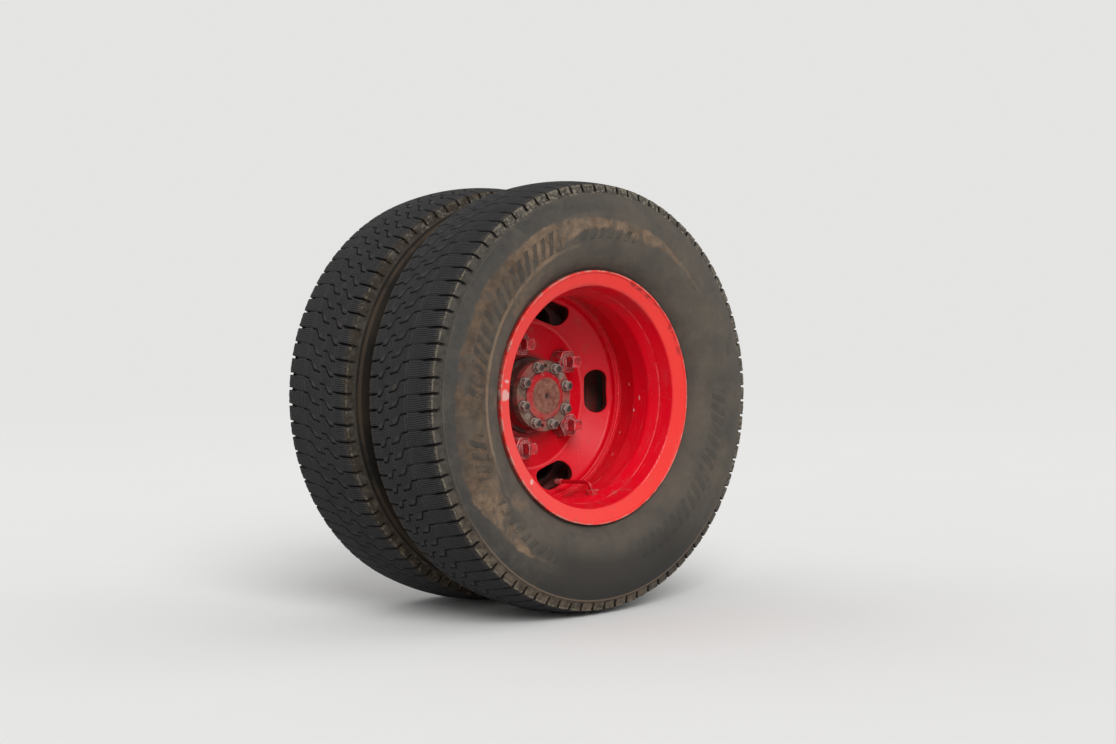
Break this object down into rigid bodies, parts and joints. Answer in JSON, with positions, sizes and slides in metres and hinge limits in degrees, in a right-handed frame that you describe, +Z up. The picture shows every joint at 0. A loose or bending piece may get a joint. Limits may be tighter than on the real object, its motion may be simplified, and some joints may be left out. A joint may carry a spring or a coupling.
{
  "type": "truck twin rear wheel on axle end",
  "caption": "Twin rear wheel of a small truck: deep red steel wheels with winter tyres on a hub with brake drum and half shaft, turning on the axle end.",
  "frame": {"origin": "centre of the axle tube's weld face, on the axle's centre line", "axes": "+Y along the axle towards the vehicle's middle, so the wheels' outer face looks along -Y; +Z up; -X towards the vehicle's front"},
  "size_m": [0.805, 0.9181, 0.8048],
  "materials": {
    "tyre_rubber": "matt rubber, dusty brown on the sidewall",
    "wheel_paint": "gloss red enamel with chips and dust",
    "valve_metal": "plated metal, partly painted red",
    "hub_paint": "worn red paint under brown dust",
    "drum_iron": "rusty cast iron",
    "forged_steel": "forged steel with worn red paint, rust and dust",
    "axle_black": "satin black chassis paint with road dust",
    "cylinder_iron": "cast iron with light rust",
    "plated_steel": "dull zinc plate with rust",
    "nut_steel": "steel with red paint worn off the edges"
  },
  "bodies": {
    "axle_end": {"axle_end": "axle_black", "backing_plate": "axle_black", "brake_pipe": "plated_steel", "lower_wheel_cylinder": "cylinder_iron", "upper_wheel_cylinder": "cylinder_iron"},
    "wheel_set": {"brake_drum": "drum_iron", "cap_nut_1": "nut_steel", "cap_nut_2": "nut_steel", "cap_nut_3": "nut_steel", "cap_nut_4": "nut_steel", "cap_nut_5": "nut_steel", "dowel_1": "plated_steel", "dowel_2": "plated_steel", "flange_nut_1": "plated_steel", "flange_nut_2": "plated_steel", "flange_nut_3": "plated_steel", "flange_nut_4": "plated_steel", "flange_nut_5": "plated_steel", "flange_nut_6": "plated_steel", "flange_nut_7": "plated_steel", "flange_nut_8": "plated_steel", "half_shaft": "forged_steel", "hex_nut_1": "nut_steel", "hex_nut_2": "nut_steel", "hex_nut_3": "nut_steel", "hex_nut_4": "nut_steel", "hex_nut_5": "nut_steel", "hub": "hub_paint", "inner_disc": "wheel_paint", "inner_rim": "wheel_paint", "inner_tyre": "tyre_rubber", "inner_valve": "valve_metal", "outer_disc": "wheel_paint", "outer_rim": "wheel_paint", "outer_tyre": "tyre_rubber", "outer_valve": "valve_metal", "wheel_stud_1": "plated_steel", "wheel_stud_2": "plated_steel", "wheel_stud_3": "plated_steel", "wheel_stud_4": "plated_steel", "wheel_stud_5": "plated_steel"}
  },
  "joints": [
    {"name": "wheel_spin", "type": "hinge", "parent": "axle_end", "child": "wheel_set", "pos_m": [0, 0, 0], "axis": [0, 1, 0], "continuous": true}
  ]
}
